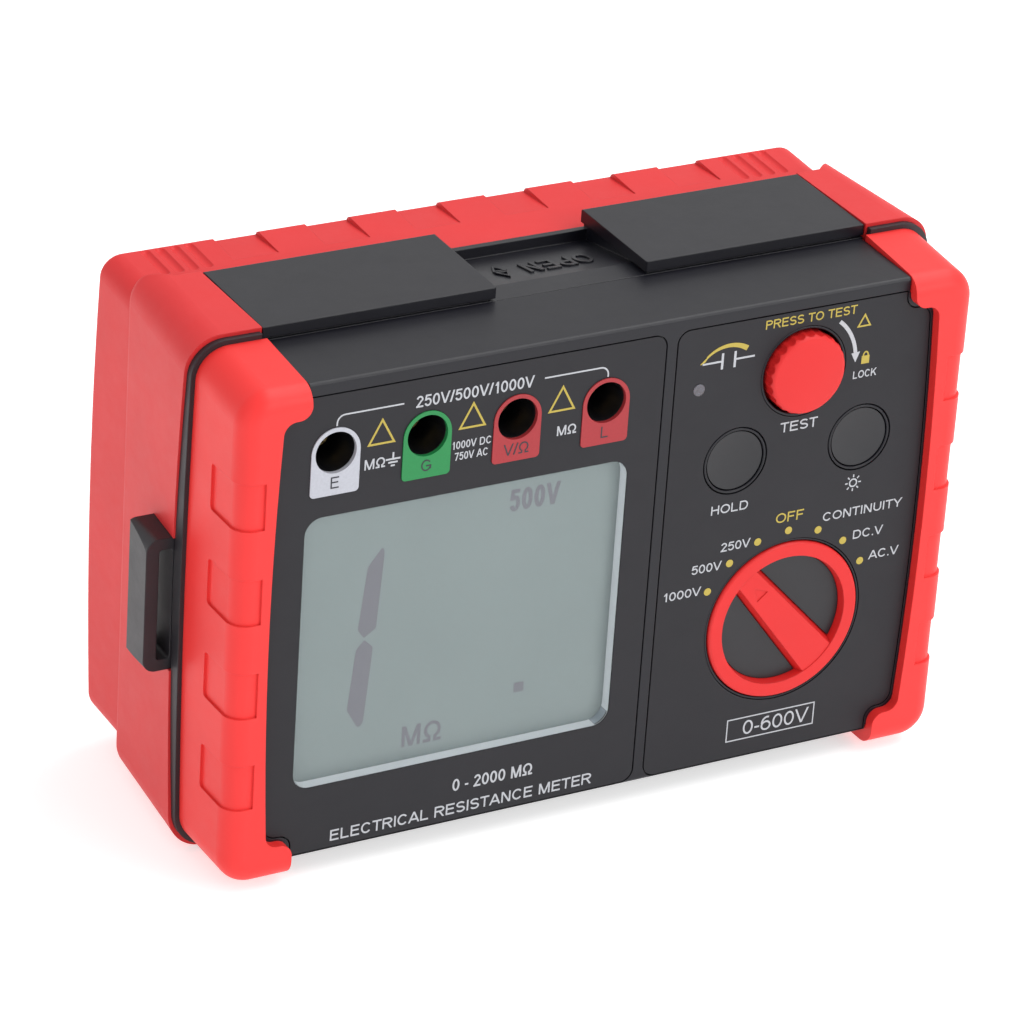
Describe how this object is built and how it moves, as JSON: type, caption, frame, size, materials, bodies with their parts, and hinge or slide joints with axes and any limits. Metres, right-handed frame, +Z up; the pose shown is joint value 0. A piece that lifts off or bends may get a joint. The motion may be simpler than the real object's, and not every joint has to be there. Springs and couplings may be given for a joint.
{
  "type": "insulation resistance tester",
  "caption": "Upright hand-held insulation resistance tester with display, test sockets, press-to-test knob, rotary selector, lidded battery bay and strap lugs.",
  "frame": {"origin": "centre of the bounding box in X and Y, at the level the tester stands on", "axes": "+X to the right seen from the front, +Z up, the front panel faces -Y"},
  "size_m": [0.203, 0.082, 0.1284],
  "materials": {
    "battery_jacket": "printed sleeve",
    "black_button": "satin",
    "black_case": "fine moulded texture",
    "black_frame": "satin",
    "black_inner": "moulded",
    "black_lid": "fine moulded texture",
    "black_rubber": "matt",
    "black_socket": "satin",
    "brass": "turned",
    "capacitor_can": "sleeved",
    "circuit_board": "solder mask",
    "clear_window": "polished",
    "copper_coil": "wound",
    "display_bezel": "moulded",
    "fuse_glass": "clear",
    "lcd_glass": "reflective display",
    "led_lens": "diffused lens",
    "panel_label": "matt printed film",
    "rear_plate": "satin film",
    "red_bumper": "soft satin overmould",
    "red_knob": "satin",
    "red_shell": "fine moulded texture",
    "rubber_inner": "zebra strip",
    "steel": "plated",
    "switch_inner": "moulded",
    "tag_green": "printed",
    "tag_red": "printed",
    "tag_white": "printed",
    "white_inner": "moulded"
  },
  "bodies": {
    "housing": {"front_case": "black_case", "display_label": "panel_label", "control_label": "panel_label", "bumper_left": "red_bumper", "bumper_right": "red_bumper", "middle_frame": "black_frame", "strap_lug_left": "black_frame", "strap_lug_right": "black_frame", "back_shell": "red_shell", "lid_hinge_pins": "steel", "lcd_window": "clear_window", "lcd_bezel": "display_bezel", "lcd_glass": "lcd_glass", "lcd_backlight": "white_inner", "display_connectors": "rubber_inner", "socket_tag_earth": "tag_white", "socket_sleeve_earth": "black_socket", "socket_contact_earth": "brass", "socket_tag_guard": "tag_green", "socket_sleeve_guard": "black_socket", "socket_contact_guard": "brass", "socket_tag_volt": "tag_red", "socket_sleeve_volt": "black_socket", "socket_contact_volt": "brass", "socket_tag_line": "tag_red", "socket_sleeve_line": "black_socket", "socket_contact_line": "brass", "button_rings": "black_case", "button_switches": "switch_inner", "test_collar": "black_case", "test_spring": "steel", "test_switch": "switch_inner", "dial_seat": "black_case", "rotary_switch": "switch_inner", "status_led": "led_lens", "main_board": "circuit_board", "lower_board": "circuit_board", "transformer": "copper_coil", "capacitors": "capacitor_can", "fuse": "fuse_glass", "fuse_clips": "brass", "battery_box": "black_inner", "battery_cell_1": "battery_jacket", "battery_cell_2": "battery_jacket", "battery_cell_3": "battery_jacket", "battery_cell_4": "battery_jacket", "battery_cell_5": "battery_jacket", "battery_cell_6": "battery_jacket", "battery_springs": "steel", "case_screws": "steel", "rear_feet": "black_rubber", "rear_plate": "rear_plate"},
    "dial": {"rotary_dial": "red_knob", "dial_inserts": "black_button", "dial_shaft": "white_inner"},
    "plunger": {"test_plunger": "white_inner"},
    "knob": {"test_knob": "red_knob"},
    "hold": {"hold_button": "black_button"},
    "light": {"light_button": "black_button"},
    "lid": {"battery_lid": "black_lid"}
  },
  "joints": [
    {"name": "dial_turn", "type": "hinge", "parent": "housing", "child": "dial", "pos_m": [0.0503, -0.0382, 0.0409], "axis": [0, -1, 0], "range_deg": [-101.5, 20.3]},
    {"name": "test_press", "type": "slide", "parent": "housing", "child": "plunger", "axis": [0, 1, 0], "range_m": [0, 0.003], "stiffness_N_per_m": 600, "springref_m": -0.002, "deforming": ["test_spring"]},
    {"name": "test_lock", "type": "hinge", "parent": "plunger", "child": "knob", "pos_m": [0.0497, -0.0382, 0.105], "axis": [0, 1, 0], "range_deg": [0, 75]},
    {"name": "hold_press", "type": "slide", "parent": "housing", "child": "hold", "axis": [0, 1, 0], "range_m": [0, 0.0012], "stiffness_N_per_m": 500, "springref_m": -0.001},
    {"name": "light_press", "type": "slide", "parent": "housing", "child": "light", "axis": [0, 1, 0], "range_m": [0, 0.0012], "stiffness_N_per_m": 500, "springref_m": -0.001},
    {"name": "lid_open", "type": "hinge", "parent": "housing", "child": "lid", "pos_m": [0, 0.0118, 0.1255], "axis": [-1, 0, 0], "range_deg": [0, 90]}
  ]
}
